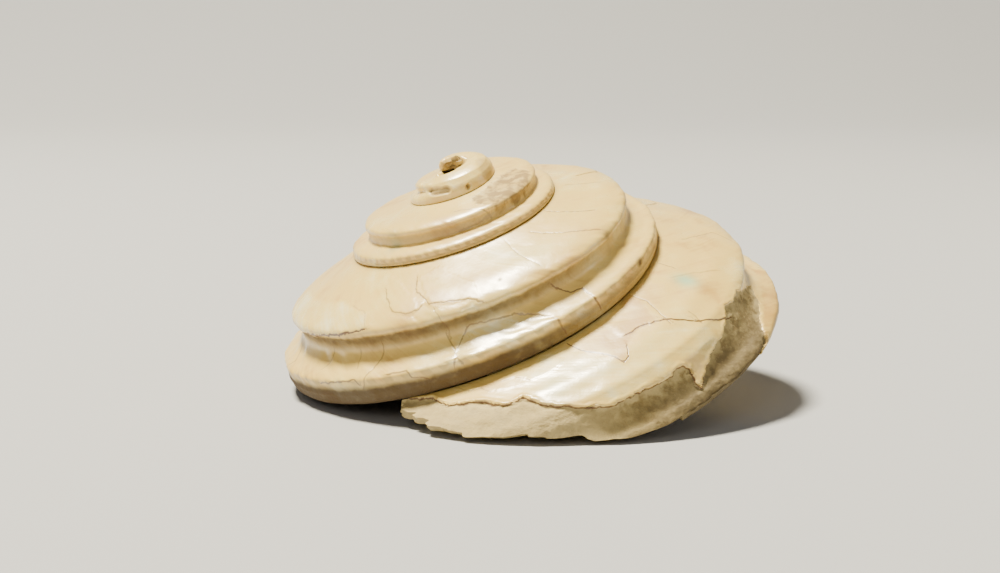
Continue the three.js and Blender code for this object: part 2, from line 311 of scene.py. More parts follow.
# pits and knobs of the broken tip, where the shell lies: two ends in mm, radius, depth (negative for a
# knob), darkness
PITS_AND_SHADE = (((-13.3, -6.0, 37.3), (-12.0, -5.8, 38.3), 1.45, 1.3, 0.85),
        ((-9.82, -10.12, 34.7), (-9.82, -10.12, 34.7), 0.42, 0.7, 0.65),
        ((-15.4, -8.2, 33.6), (-13.1, -9.8, 34.05), 0.60, 0.25, 0.75),
        # painted shade on the right side of the ring, barely dented
        ((-7.2, -6.4, 38.0), (-6.7, -8.0, 36.7), 1.3, 0.05, 0.42),
        ((-14.9, -5.9, 36.6), (-14.6, -6.2, 36.5), 0.70, -0.45, 0.1),
        ((-18.2, -3.9, 34.3), (-17.6, -5.2, 34.3), 1.0, -0.22, 0.05),
        ((-16.4, -6.9, 34.2), (-16.2, -7.2, 34.2), 0.85, -0.18, 0.1))


def to_millimetres(line):
    """Scale from (turn, share) to mm on the surface round an outline."""
    middle = np.array(line.mean(0)[0] * PI)
    return np.array([PI * keel(middle)[0] * 0.93, whorl_height(middle) * 1.05])


def line_distance(turn, share, outline, reach=4.0, wobble=0.0, seed=0, closed=False):
    """Signed distance in mm from an outline (positive to the left of its direction, or inside it when
    closed), and the distance past its ends."""
    line = np.array(outline + outline[:1] if closed else outline, float)
    scale = to_millimetres(line)
    p = line * scale
    low, high = p.min(0) - reach, p.max(0) + reach
    x, y = turn * scale[0], share * scale[1]
    near = (x > low[0]) & (x < high[0]) & (y > low[1]) & (y < high[1])
    signed, past = np.full(turn.shape, -99.0), np.full(turn.shape, 99.0)
    q = np.stack([x[near], y[near]], -1)
    if not len(q):
        return signed, past
    for k, (size, amount) in enumerate(((1.3, wobble), (3.4, wobble * 0.5), (7.5, wobble * 0.25))):
        at = q * size
        q = q + amount * np.stack([noise(at[:, 0], at[:, 1], 0.5, seed + k),
                                   noise(at[:, 0], at[:, 1], 9.5, seed + k)], -1)
    best, side, ends = np.full(len(q), 1e9), np.ones(len(q)), np.zeros(len(q))
    inside = np.zeros(len(q), bool)
    for k in range(len(p) - 1):
        a, d = p[k], p[k + 1] - p[k]
        length = np.hypot(*d)
        t = ((q - a) @ d) / length ** 2
        off = q - a - np.clip(t, 0, 1)[:, None] * d
        distance = np.hypot(off[:, 0], off[:, 1])
        past_end = np.zeros(len(q))
        if k == 0:
            past_end = np.maximum(past_end, -t * length)
        if k == len(p) - 2:
            past_end = np.maximum(past_end, (t - 1) * length)
        nearer = distance < best - 1e-9
        best = np.where(nearer, distance, best)
        side = np.where(nearer, np.sign(d[0] * (q[:, 1] - a[1]) - d[1] * (q[:, 0] - a[0])), side)
        ends = np.where(nearer, past_end, ends)
        if closed and d[1] != 0:
            crosses = (a[1] > q[:, 1]) != (p[k + 1][1] > q[:, 1])
            inside ^= crosses & (q[:, 0] < a[0] + (q[:, 1] - a[1]) / d[1] * d[0])
    signed[near] = np.where(inside, best, -best) if closed else best * side
    past[near] = 0 if closed else ends
    return signed, past


def markings(turn, share):
    """Relief in mm from flakes, cracks and plates, with their lines and colours."""
    m = {name: np.zeros(turn.shape) for name in ("lift", "near", "tint", "green", "brown")}
    m["line"] = np.full(turn.shape, 9.0)

    def draw(signed, fade, darkness):
        """Let the nearest line so far give the thin dark line."""
        closer = (np.abs(signed) < np.abs(m["line"])) & (fade > 0.01)
        m["line"] = np.where(closer, signed, m["line"])
        m["near"] = np.where(closer, darkness * fade * smooth((1.3 - np.abs(signed)) / 0.4), m["near"])

    for k, (outline, height, reach, darkness) in enumerate(FLAKES):
        signed, past = line_distance(turn, share, outline, reach=3 * reach, wobble=0.22, seed=40 + 5 * k)
        fade = 1 - smooth(past / 1.6)
        m["lift"] += height * fade * smooth(signed / 0.4 + 0.5) * np.exp(-np.maximum(signed, 0) / reach)
        draw(signed, fade, darkness)
    for k, (outline, depth, darkness) in enumerate(CRACKS):
        signed, past = line_distance(turn, share, outline, wobble=0.2, seed=190 + 5 * k)
        fade = 1 - smooth(past / 0.8)
        m["lift"] -= depth * fade * np.exp(-(signed / 0.2) ** 2)
        draw(signed, fade, darkness)
    for k, (outline, height, shift) in enumerate(PLATES):
        signed, _ = line_distance(turn, share, outline, wobble=0.25, seed=300 + 5 * k, closed=True)
        m["lift"] += height * smooth(signed / 0.3 + 0.5)
        m["tint"] += shift * smooth(signed / (1.2 if abs(shift) > 0.45 else 0.4) + 0.5)
    for (t, s), radius, green, brown in SPOTS:
        scale = to_millimetres(np.array([(t, s)]))
        far = ((turn - t) * scale[0]) ** 2 + ((share - s) * scale[1]) ** 2
        spot = np.exp(-far / radius ** 2)
        m["green"] += green * spot
        m["brown"] += brown * spot
    signed, _ = line_distance(turn, share, WORN, wobble=0.6, seed=401, closed=True)
    m["worn"] = smooth(signed / 0.8 + 0.5)
    chalk, _ = line_distance(turn, share, PEARL_EDGE, reach=10, wobble=0.30, seed=21, closed=True)
    m["chalk"] = np.clip(chalk, -9, 9)
    return m


# ------------------------------------------------------------------ relief of the surface

SKEW = 0.27                             # how far growth lines run back across a whorl, half turns
LEDGE = 0.668                           # share where the outer layers end under the upper keel
RIBLETS = 190                           # fine ribs across the lower keel in one turn
# heights in mm: growth ridges, broad swelling, step at the ledge, cord under the lower keel, drop from
# the pearl to the chalk, curl of the pearl's edge
RIDGES, SWELLING, LEDGE_STEP, CORD, CHALK_DROP, CURL = 0.012, 0.12, 0.26, 0.14, 0.34, 0.10


def growth_phase(p, share):
    """Growth angle of the old edge that runs through a point."""
    return p + PI * SKEW * np.minimum(share, 1.2) * smooth((p / PI + 8) / 4)


def relief(p, share, v, m):
    """Height in mm added to the outside of the shell."""
    size = keel(p)[..., 0] / KEEL_RADIUS
    turn = p / PI
    phase = growth_phase(p, share)
    lines = (0.5 * noise(phase * 26, share * 2, 0, 3) + 0.35 * noise(phase * 61, share * 3, 0, 4)
             + 0.2 * noise(phase * 140, share * 5, 0, 5))
    keeled = 1 - smooth((-turn - 3.8) / 0.5)
    soft = smooth((turn - 0.95) / 0.3)
    low_keel = np.exp(-((share - 0.99) / 0.055) ** 2) * (1 - 0.6 * soft)
    high_keel = np.exp(-((share - 0.62) / 0.05) ** 2) * (1 - soft)
    ribs = noise(phase * RIBLETS / 4, share * 9, 0, 8)
    knobs = noise(phase * 9, share * 3, 0, 9) + 0.6 * noise(phase * 23, share * 4, 0, 10)
    ragged = LEDGE + 0.006 * noise(turn * 40, 0, 0, 12) + 0.004 * noise(turn * 130, 0, 0, 13)
    ledge = LEDGE_STEP / np.sqrt(size) * smooth((ragged - share) / 0.014)
    ledge *= 1 - smooth((0.50 - share) / 0.25)
    height = RIDGES * lines + SWELLING * rough(v, 9.0, 3, 11)
    height += keeled * low_keel * (0.025 * ribs + 0.20 * knobs)
    height += keeled * high_keel * (0.015 * ribs + 0.15 * knobs)
    height += keeled * (1 - soft) * ledge
    band = smooth((share - 0.70) / 0.03) * smooth((0.93 - share) / 0.05) * keeled
    height += band * 0.10 * noise(phase * 15, share * 6, 0, 15)
    chalky = smooth(m["chalk"] / 0.24 + 0.5)
    worn = m["worn"]
    broken = 0.2 + 0.8 * smooth((turn - 1.09) / 0.14)           # how boldly the pearl breaks off
    height -= CHALK_DROP * chalky * broken + 0.05 * worn
    height += CURL * broken * np.exp(-((m["chalk"] + 0.3) / 0.35) ** 2)
    height += keeled * (1 - soft) * CORD * np.exp(-((share - 1.075) / 0.014) ** 2)
    height += chalky * (0.07 * rough(v, 1.1, 2, 31) + 0.10 * rough(v, 4.0, 2, 33))
    height += worn * 0.12 * rough(v, 0.9, 3, 36)
    covered = smooth((BASE_FROM * PI - p) / 0.1) * (share <= UNDER_SHARE + 1e-6)
    calm = smooth(share / 0.05) * (1 - smooth((share - 1.08) / 0.06) * covered)
    return (size * height + m["lift"] * np.minimum(1, size * 1.3)) * (0.15 + 0.85 * calm)


def pits(v):
    """How deep and how dark the broken tip is at v, with painted shade on the right side of the ring."""
    depth, dark = np.zeros(v.shape[:-1]), np.zeros(v.shape[:-1])
    at = set_down(v) + 0.25 * np.stack([rough(v, 1.4, 2, 71 + k) for k in range(3)], -1)
    for a, b, radius, deep, darkness in PITS_AND_SHADE:
        a, d = np.array(a), np.array(b) - np.array(a)
        t = np.clip(((at - a) @ d) / max(d @ d, 1e-9), 0, 1)
        far = np.linalg.norm(at - a - t[..., None] * d, axis=-1) / radius
        hole = smooth((1.35 - far) / 0.75)
        depth += deep * hole - 0.1 * min(deep, 0.6) * np.exp(-((far - 1.4) / 0.25) ** 2)
        dark = np.maximum(dark, darkness * hole)
    return depth, dark


def normals_of(v):
    """Outward normals of a grid of points."""
    n = np.cross(np.gradient(v, axis=0), np.gradient(v, axis=1))
    return n / np.maximum(np.linalg.norm(n, axis=-1, keepdims=True), 1e-9)


# ------------------------------------------------------------------ sheets of surface

def spread(start, end, near_spacing, far_spacing):
    """Growth angles from start to end, closer together on the side towards the viewer."""
    out = [start]
    while out[-1] < end:
        p = out[-1]
        front = 0.5 + 0.5 * math.cos(p + PI / 2)
        step = far_spacing + (near_spacing - far_spacing) * smooth(front * 1.6)
        out.append(p + step / max(1.0, float(keel(np.array(p))[0])))
    out[-1] = end
    return np.array(out)


def rows_across(spacing):
    """Shares from the suture to under the keel, closer together at the keels."""
    stops = ((0, 0.05, 0.6), (0.05, 0.56, 1.0), (0.56, 0.80, 0.62), (0.80, 0.92, 0.9), (0.92, 1.08, 0.62),
             (1.08, UNDER_SHARE, 0.8))
    parts = [np.linspace(a, b, max(2, round((b - a) / (spacing * k)) + 1))[1:] for a, b, k in stops]
    return np.concatenate([[0.0], *parts])


class Sheets:
    """Gathers grids of points into one mesh."""

    def __init__(self):
        self.points, self.faces, self.data, self.count = [], [], {}, 0

    def grid(self, v, keep=None, flip=False, **data):
        rows, columns = v.shape[:2]
        ids = self.count + np.arange(rows * columns).reshape(rows, columns)
        quad = np.stack([ids[:-1, :-1], ids[1:, :-1], ids[1:, 1:], ids[:-1, 1:]], -1)
        if flip:
            quad = quad[..., ::-1]
        if keep is not None:
            quad = quad[keep[:-1, :-1] & keep[1:, :-1] & keep[:-1, 1:] & keep[1:, 1:]]
        self.faces.append(quad.reshape(-1, 4))
        self.points.append(v.reshape(-1, 3))
        for name in MARKS:
            values = np.broadcast_to(data.get(name, MARKS[name]), (rows, columns))
            self.data.setdefault(name, []).append(values.reshape(-1))
        self.count += rows * columns

    def build(self, name, surface):
        points, faces = np.concatenate(self.points), np.concatenate(self.faces)
        used = np.zeros(len(points), bool)
        used[faces.reshape(-1)] = True
        new = np.cumsum(used) - 1
        mesh = bpy.data.meshes.new(name)
        mesh.from_pydata((set_down(points[used]) * MM).tolist(), [], new[faces].tolist())
        for key, values in self.data.items():
            layer = mesh.attributes.new(key, 'FLOAT', 'POINT')
            layer.data.foreach_set('value', np.concatenate(values)[used].astype(np.float32))
        mesh.shade_smooth()
        mesh.materials.append(surface)
        thing = bpy.data.objects.new(name, mesh)
        bpy.context.collection.objects.link(thing)
        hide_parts("shell")
        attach(thing, "root")
        return thing


MARKS = {"turn": 0, "share": 0, "line": 9, "near": 0, "tint": 0, "green": 0, "brown": 0, "worn": 0,
         "chalk": -9, "pit": 0}


def tuck(p, share, v, n):
    """Where two whorls meet each slips a little under the other, so no gap shows between them."""
    top = smooth((0.008 - share) / 0.008)
    bottom = smooth((share - 1.138) / 0.012) * smooth((BASE_FROM * PI - p) / 0.1)
    bottom = np.where(share <= UNDER_SHARE + 1e-6, bottom, 0)
    return v - n * (0.28 * np.maximum(top, bottom))[..., None] * keel(p)[..., :1] / KEEL_RADIUS


def lip_angle(share):
    """Growth angle at which the broken lip ends."""
    at = np.interp(share, LIP[:, 0], LIP[:, 1])
    ragged = 0.005 * noise(share * 22, 0, 0, 91) + 0.002 * noise(share * 60, 0, 0, 92)
    notch = 0.012 * np.exp(-((share - 0.67) / 0.02) ** 2) + 0.009 * np.exp(-((share - 0.79) / 0.02) ** 2)
    nick = 0.008 * np.exp(-((share - 0.17) / 0.02) ** 2) + 0.008 * np.exp(-((share - 0.30) / 0.02) ** 2)
    return PI * (at + ragged * smooth(share / 0.05) - notch - nick)


def outside(start, end, near, far, rows, to_lip=False):
    """A sheet of the outside from one growth angle to another, with its markings."""
    pad = 0.004
    angles = spread(start, end, near, far)
    angles = np.concatenate([[start - 2 * pad, start - pad], angles, [] if to_lip else [end + pad]])
    p = np.repeat(angles[:, None], len(rows), 1)
    s = np.repeat(rows[None, :], len(angles), 0)
    if to_lip:                            # the last columns run out to the lip
        bend = 0.75 * PI
        w = np.clip((angles - bend) / (end - bend), 0, 1)[:, None]
        p = np.where(w > 0, bend + w * (lip_angle(s) - bend), p)
    v = around(p, section_at(p, s))
    n = normals_of(v)
    m = markings(p / PI, s)
    depth, m["pit"] = pits(v)
    v = v + n * (relief(p, s, v, m) - depth)[..., None]
    v = tuck(p, s, v, n)
    crop = slice(2, None if to_lip else -1)
    m.update(turn=p / PI, share=s)
    return p[crop], s[crop], v[crop], {k: a[crop] for k, a in m.items() if k in MARKS}


# ------------------------------------------------------------------ node helpers

def node(tree, kind, inputs=(), **settings):
    """A shader node; inputs are sockets to link or constant values."""
    n = tree.nodes.new(kind)
    for key, value in settings.items():
        setattr(n, key, value)
    for key, value in dict(inputs).items():
        if isinstance(value, bpy.types.NodeSocket):
            tree.links.new(value, n.inputs[key])
        else:
            n.inputs[key].default_value = value
    return n


def calc(tree, operation, *values):
    """One sum of a Math node."""
    return node(tree, "ShaderNodeMath", enumerate(values), operation=operation).outputs[0]


def step(tree, value, low, high):
    """Smooth step from 0 at low to 1 at high."""
    return node(tree, "ShaderNodeMapRange", {"Value": value, "From Min": low, "From Max": high},
                interpolation_type='SMOOTHSTEP').outputs[0]


def blend(tree, amount, a, b):
    """Colour a turning into colour b."""
    colour = [(*c, 1) if isinstance(c, tuple) else c for c in (a, b)]
    return node(tree, "ShaderNodeMix", {0: amount, 6: colour[0], 7: colour[1]}, data_type='RGBA').outputs[2]


def mark(tree, name):
    """A value kept on the mesh."""
    return node(tree, "ShaderNodeAttribute", attribute_name=name).outputs["Fac"]


def speckle(tree, place, scale, detail=2.0):
    settings = {"Vector": place, "Scale": scale, "Detail": detail}
    return node(tree, "ShaderNodeTexNoise", settings).outputs["Fac"]


def effect(name, inputs, outputs):
    """An empty node group with named sockets; returns the group, its inputs and its outputs."""
    group = bpy.data.node_groups.new(name, 'ShaderNodeTree')
    for key, value in inputs.items():
        socket = group.interface.new_socket(key, in_out='INPUT', socket_type='NodeSocketFloat')
        socket.default_value = value
    for key in outputs:
        group.interface.new_socket(key, in_out='OUTPUT', socket_type='NodeSocketFloat')
    return group, group.nodes.new("NodeGroupInput").outputs, group.nodes.new("NodeGroupOutput").inputs


def growth_lines():
    """Streaks that follow the growing edge: fine and broad, and ribs for the keels."""
    g, given, result = effect("growth lines", {"Turn": 0, "Share": 0, "Skew": SKEW},
                              ("Fine", "Broad", "Ribs"))
    across = calc(g, 'MULTIPLY', calc(g, 'MINIMUM', given["Share"], 1.2), given["Skew"])
    phase = calc(g, 'ADD', given["Turn"], across)

    def streaks(often, along, detail):
        place = node(g, "ShaderNodeCombineXYZ", {0: calc(g, 'MULTIPLY', phase, often),
                                                 1: calc(g, 'MULTIPLY', given["Share"], along)}).outputs[0]
        return speckle(g, place, 1.0, detail)

    g.links.new(streaks(130, 2.2, 3.0), result["Fine"])
    g.links.new(streaks(22, 1.1, 2.0), result["Broad"])
    ribs = calc(g, 'ADD', calc(g, 'MULTIPLY', phase, 210.0), calc(g, 'MULTIPLY', given["Share"], -34.0))
    wavy = calc(g, 'ADD', ribs, calc(g, 'MULTIPLY', streaks(40, 5, 1.0), 7.0))
    g.links.new(calc(g, 'MULTIPLY_ADD', calc(g, 'SINE', wavy), 0.5, 0.5), result["Ribs"])
    return g


def grain():
    """Speckles of three sizes, in the shell's own metres."""
    g, given, result = effect("grain", {"Size": 1.0}, ("Patches", "Mottle", "Specks"))
    place = node(g, "ShaderNodeTexCoord").outputs["Object"]
    for key, often, detail in (("Patches", 130.0, 2.0), ("Mottle", 700.0, 3.0), ("Specks", 2600.0, 2.0)):
        g.links.new(speckle(g, place, calc(g, 'DIVIDE', often, given["Size"]), detail), result[key])
    return g


def crack_lines():
    """A thin line where the marked distance in millimetres passes through nothing."""
    g, given, result = effect("crack lines", {"Line": 9, "Near": 0, "Width": 0.085}, ("Mask",))
    off = calc(g, 'ABSOLUTE', given["Line"])
    thin = step(g, off, calc(g, 'MULTIPLY', given["Width"], 2.2), calc(g, 'MULTIPLY', given["Width"], 0.6))
    g.links.new(calc(g, 'MULTIPLY', thin, given["Near"]), result["Mask"])
    return g


def keel_stain_and_shade():
    """Brown staining and painted shade under the upper keel, under the lower keel and in the suture."""
    g, given, result = effect("keel staining and shade", {"Turn": 0, "Share": 0}, ("Mask",))
    place = node(g, "ShaderNodeCombineXYZ", {0: calc(g, 'MULTIPLY', given["Turn"], 60.0),
                                             1: calc(g, 'MULTIPLY', given["Share"], 9.0)}).outputs[0]
    drift = calc(g, 'MULTIPLY', calc(g, 'SUBTRACT', speckle(g, place, 1.0, 3.0), 0.5), 0.022)
    share = calc(g, 'ADD', given["Share"], drift)
    # painted shade: darker in the notch under the upper keel, under the lower keel, in the band and in the
    # suture
    notch = calc(g, 'MULTIPLY', step(g, share, 0.645, 0.668), step(g, share, 0.74, 0.675))
    below = step(g, share, 0.985, 1.055)
    seam = step(g, share, 0.065, 0.01)
    band = calc(g, 'MULTIPLY', step(g, share, 0.70, 0.74), step(g, share, 0.95, 0.86))
    left = step(g, given["Turn"], -0.85, -0.45)            # strongest at the start of the last whorl
    left = calc(g, 'MULTIPLY', left, step(g, given["Turn"], 0.35, 0.05))
    strong = calc(g, 'MULTIPLY_ADD', left, 0.48, 0.40)
    mature = step(g, given["Turn"], -4.1, -3.7)
    fresh = step(g, given["Turn"], 1.05, 0.7)
    notch = calc(g, 'MULTIPLY', calc(g, 'MULTIPLY', notch, strong), calc(g, 'MULTIPLY', mature, fresh))
    mask = calc(g, 'MAXIMUM', notch, calc(g, 'MULTIPLY', calc(g, 'MULTIPLY', band, left), 0.05))
    older = calc(g, 'MULTIPLY_ADD', step(g, given["Turn"], -3.9, -3.3), 0.65, 0.35)
    below = calc(g, 'MULTIPLY', below, calc(g, 'MULTIPLY_ADD', left, 0.62, 0.38))
    mask = calc(g, 'MAXIMUM', mask, below)
    mask = calc(g, 'MAXIMUM', mask, calc(g, 'MULTIPLY', seam, 0.45))
    mask = calc(g, 'MULTIPLY', mask, older)
    g.links.new(calc(g, 'MINIMUM', mask, 1.0), result["Mask"])
    return g


GROWTH, GRAIN, CRACK, STAIN_AND_SHADE = growth_lines(), grain(), crack_lines(), keel_stain_and_shade()


def use(tree, group, **inputs):
    """Place an effect with its own values."""
    n = node(tree, "ShaderNodeGroup", node_tree=group)
    for key, value in inputs.items():
        if isinstance(value, bpy.types.NodeSocket):
            tree.links.new(value, n.inputs[key])
        else:
            n.inputs[key].default_value = value
    return n.outputs


# ------------------------------------------------------------------ materials

PALE = (0.93, 0.72, 0.25)
CREAM = (0.86, 0.60, 0.155)
TAN = (0.62, 0.365, 0.075)
WHITE = (0.97, 0.86, 0.50)
SHADE_AND_STAIN_BROWN = (0.055, 0.027, 0.006)
CHALK_PALE = (0.58, 0.45, 0.19)
CHALK_GREY = (0.36, 0.265, 0.095)
CHALK_BROWN = (0.22, 0.15, 0.042)
CHALK_SHADE = (0.105, 0.072, 0.022)
LINE_BROWN = (0.12, 0.045, 0.012)
ERODED = (0.27, 0.17, 0.05)
TEAL = (0.36, 0.66, 0.42)
PIT_AND_SHADE_BROWN = (0.16, 0.095, 0.03)


def weathered_pearl():
    """The outside: cream pearl, brown stains, bare chalk and thin dark cracks."""
    material = bpy.data.materials.new("weathered pearl")
    material.use_nodes = True
    t = material.node_tree
    shader = t.nodes["Principled BSDF"]
    turn, share, chalk, tint = (mark(t, k) for k in ("turn", "share", "chalk", "tint"))
    worn, pit, line, near = (mark(t, k) for k in ("worn", "pit", "line", "near"))
    lines = use(t, GROWTH, Turn=turn, Share=share)
    dust = use(t, GRAIN, Size=1.0)
    crack = use(t, CRACK, Line=line, Near=near)["Mask"]
    # brown staining with painted shade under the keels and in the sutures
    stain_and_shade = use(t, STAIN_AND_SHADE, Turn=turn, Share=share)["Mask"]

    # cream, from pale through cream to tan
    tone = calc(t, 'MULTIPLY_ADD', calc(t, 'SUBTRACT', dust["Patches"], 0.5), 1.8, 0.46)
    tone = calc(t, 'MULTIPLY_ADD', calc(t, 'SUBTRACT', lines["Broad"], 0.5), 0.75, tone)
    tone = calc(t, 'MULTIPLY_ADD', calc(t, 'SUBTRACT', lines["Fine"], 0.5), 0.55, tone)
    tone = calc(t, 'MULTIPLY_ADD', calc(t, 'SUBTRACT', dust["Mottle"], 0.5), 0.35, tone)
    tone = calc(t, 'MULTIPLY_ADD', tint, -0.55, tone)
    colour = blend(t, step(t, tone, 0.0, 0.5), PALE, CREAM)
    colour = blend(t, step(t, tone, 0.5, 1.1), colour, TAN)
    colour = blend(t, step(t, tone, 0.12, -0.35), colour, WHITE)
    colour = blend(t, calc(t, 'MULTIPLY', mark(t, "green"), 0.75), colour, TEAL)

    # brown staining and painted shade under the keels, with light ribs across the lower keel
    on_keel = calc(t, 'MULTIPLY', step(t, share, 0.93, 0.99), step(t, share, 1.14, 1.04))
    old = calc(t, 'MULTIPLY', step(t, turn, 0.9, 0.5), step(t, turn, -4.0, -3.2))
    ribs = calc(t, 'MULTIPLY', calc(t, 'MULTIPLY', on_keel, step(t, lines["Ribs"], 0.7, 0.2)), old)
    dirt_and_shade = calc(t, 'MAXIMUM', stain_and_shade, calc(t, 'MULTIPLY', ribs, 0.28))
    dirt_and_shade = calc(t, 'MAXIMUM', dirt_and_shade, mark(t, "brown"))
    dirt_and_shade = calc(t, 'MULTIPLY', dirt_and_shade, calc(t, 'MULTIPLY_ADD', dust["Mottle"], 0.3, 0.83))
    colour = blend(t, calc(t, 'MINIMUM', dirt_and_shade, 0.94), colour, SHADE_AND_STAIN_BROWN)

    # the chalky layer: grey-brown, grainy, paler just below the broken pearl, with painted shade towards
    # the lower keel away from the lip
    crumbled = calc(t, 'MULTIPLY_ADD', calc(t, 'SUBTRACT', dust["Specks"], 0.5), 0.25, chalk)
    chalky = step(t, crumbled, -0.04, 0.10)
    dull = blend(t, step(t, dust["Mottle"], 0.36, 0.66), CHALK_BROWN, CHALK_GREY)
    grainy = calc(t, 'MULTIPLY', step(t, dust["Specks"], 0.5, 0.75), step(t, turn, 1.42, 1.28))
    dull = blend(t, calc(t, 'MULTIPLY', grainy, 0.6), dull, CHALK_PALE)
    depth = calc(t, 'MULTIPLY_ADD', calc(t, 'SUBTRACT', dust["Mottle"], 0.5), -4.0, chalk)
    dull = blend(t, calc(t, 'MULTIPLY', step(t, depth, 1.5, 0.2), 0.7), dull, CHALK_PALE)
    light = calc(t, 'MULTIPLY', step(t, turn, 1.36, 1.46), 0.55)    # paler towards the lip
    dull = blend(t, light, dull, CHALK_PALE)
    # painted shade: the chalk darker towards the lower keel and away from the lip
    dark = calc(t, 'MULTIPLY', step(t, share, 0.74, 0.90), step(t, turn, 1.45, 1.30))
    dull = blend(t, calc(t, 'MULTIPLY', dark, 0.75), dull, CHALK_SHADE)
    colour = blend(t, chalky, colour, dull)
    bare = calc(t, 'MULTIPLY_ADD', step(t, dust["Mottle"], 0.35, 0.6), 0.45, 0.5)
    colour = blend(t, calc(t, 'MULTIPLY', worn, bare), colour, ERODED)

    # the thin red-brown line along the broken pearl, cracks and flake edges
    edge = calc(t, 'MULTIPLY', step(t, chalk, -0.07, 0.03), step(t, chalk, 0.24, 0.10))
    edge = calc(t, 'MULTIPLY', edge, step(t, turn, 1.18, 1.32))
    thin = calc(t, 'MINIMUM', calc(t, 'MAXIMUM', crack, calc(t, 'MULTIPLY', edge, 0.85)), 0.95)
    colour = blend(t, thin, colour, LINE_BROWN)
    # brown in the pits, crystals in the hole, and painted shade on the right side of the ring
    crystals = step(t, dust["Specks"], 0.60, 0.70)
    colour = blend(t, pit, colour, blend(t, calc(t, 'MULTIPLY', crystals, 0.6), PIT_AND_SHADE_BROWN, CHALK_PALE))
    t.links.new(colour, shader.inputs["Base Color"])

    dull_share = calc(t, 'ADD', calc(t, 'ADD', chalky, worn), calc(t, 'ADD', dirt_and_shade, pit))
    dull_share = calc(t, 'MINIMUM', dull_share, 1.0)
    sheen = calc(t, 'MULTIPLY_ADD', step(t, tone, 0.1, 0.8), 0.16, 0.27)
    sheen = calc(t, 'MULTIPLY_ADD', calc(t, 'SUBTRACT', dust["Mottle"], 0.5), 0.16, sheen)
    sheen = calc(t, 'MULTIPLY_ADD', dull_share, 0.5, sheen)
    t.links.new(calc(t, 'MINIMUM', sheen, 0.92), shader.inputs["Roughness"])
    coat = calc(t, 'MULTIPLY', calc(t, 'SUBTRACT', 1.0, dull_share), 0.75)
    t.links.new(coat, shader.inputs["Coat Weight"])
    shader.inputs["Coat Roughness"].default_value = 0.27
    shader.inputs["Specular IOR Level"].default_value = 0.8
    shader.inputs["Subsurface Weight"].default_value = 0.06
    shader.inputs["Subsurface Radius"].default_value = (0.0020, 0.0013, 0.0007)
    shader.inputs["Subsurface Scale"].default_value = 1.0

    height = calc(t, 'MULTIPLY', calc(t, 'SUBTRACT', lines["Fine"], 0.5), 0.009)
    height = calc(t, 'MULTIPLY_ADD', calc(t, 'SUBTRACT', lines["Broad"], 0.5), 0.022, height)
    height = calc(t, 'MULTIPLY_ADD', calc(t, 'SUBTRACT', dust["Mottle"], 0.5), 0.05, height)
    bumpy = calc(t, 'MULTIPLY_ADD', dull_share, 0.10, 0.012)
    height = calc(t, 'ADD', height, calc(t, 'MULTIPLY', calc(t, 'SUBTRACT', dust["Specks"], 0.5), bumpy))
    height = calc(t, 'MULTIPLY_ADD', crack, -0.03, height)
    height = calc(t, 'MULTIPLY_ADD', chalky, -0.10, height)
    bump = node(t, "ShaderNodeBump", {"Height": height, "Distance": MM, "Strength": 0.9})
    t.links.new(bump.outputs[0], shader.inputs["Normal"])
    return material


def nacre_lining():
    """The smooth inside of the mouth."""
    material = bpy.data.materials.new("nacre lining")
    material.use_nodes = True
    t = material.node_tree
    shader = t.nodes["Principled BSDF"]
    dust = use(t, GRAIN, Size=1.6)
    lines = use(t, GROWTH, Turn=mark(t, "turn"), Share=mark(t, "share"))
    tone = calc(t, 'MULTIPLY_ADD', lines["Broad"], 0.5, calc(t, 'MULTIPLY', dust["Patches"], 0.6))
    t.links.new(blend(t, step(t, tone, 0.3, 0.8), WHITE, PALE), shader.inputs["Base Color"])
    t.links.new(calc(t, 'MULTIPLY_ADD', dust["Mottle"], 0.2, 0.16), shader.inputs["Roughness"])
    shader.inputs["Coat Weight"].default_value = 0.3
    shader.inputs["Coat Roughness"].default_value = 0.15
    height = calc(t, 'MULTIPLY', lines["Fine"], 0.04)
    bump = node(t, "ShaderNodeBump", {"Height": height, "Distance": MM, "Strength": 0.7})
    t.links.new(bump.outputs[0], shader.inputs["Normal"])
    return material


pearl, lining_pearl = weathered_pearl(), nacre_lining()

# ------------------------------------------------------------------ the shell

MIDDLE_FROM, LAST_FROM = -1.5, 0.5     # half turns where one sheet gives over to the next
NEAR_STEP, FAR_STEP = 0.25, 0.50       # mm between columns, in front and behind
ROWS = rows_across(0.0122)
BASE_ROWS = np.linspace(UNDER_SHARE, 2, 28)[1:]
WITH_BASE = np.concatenate([ROWS, BASE_ROWS])

last_whorl = Sheets()
p, s, v, m = outside(LAST_FROM * PI, LAST * PI, NEAR_STEP, FAR_STEP, WITH_BASE, to_lip=True)
last_whorl.grid(v, **m)
lip, lip_share = v[-1], s[-1]


def lining_at(p, s):
    """The inner face of the wall, measured towards the middle of the section."""
    outer = section_at(p, s)
    inward = (section_at(p, np.full_like(s, 0.45)) + section_at(p, np.full_like(s, 1.45))) / 2 - outer
    inward /= np.linalg.norm(inward, axis=-1, keepdims=True)
    thickness = WALL * (1 + KEEL_WALL * np.exp(-((s - 1) / 0.2) ** 2))
    return around(p, outer + inward * thickness[..., None])


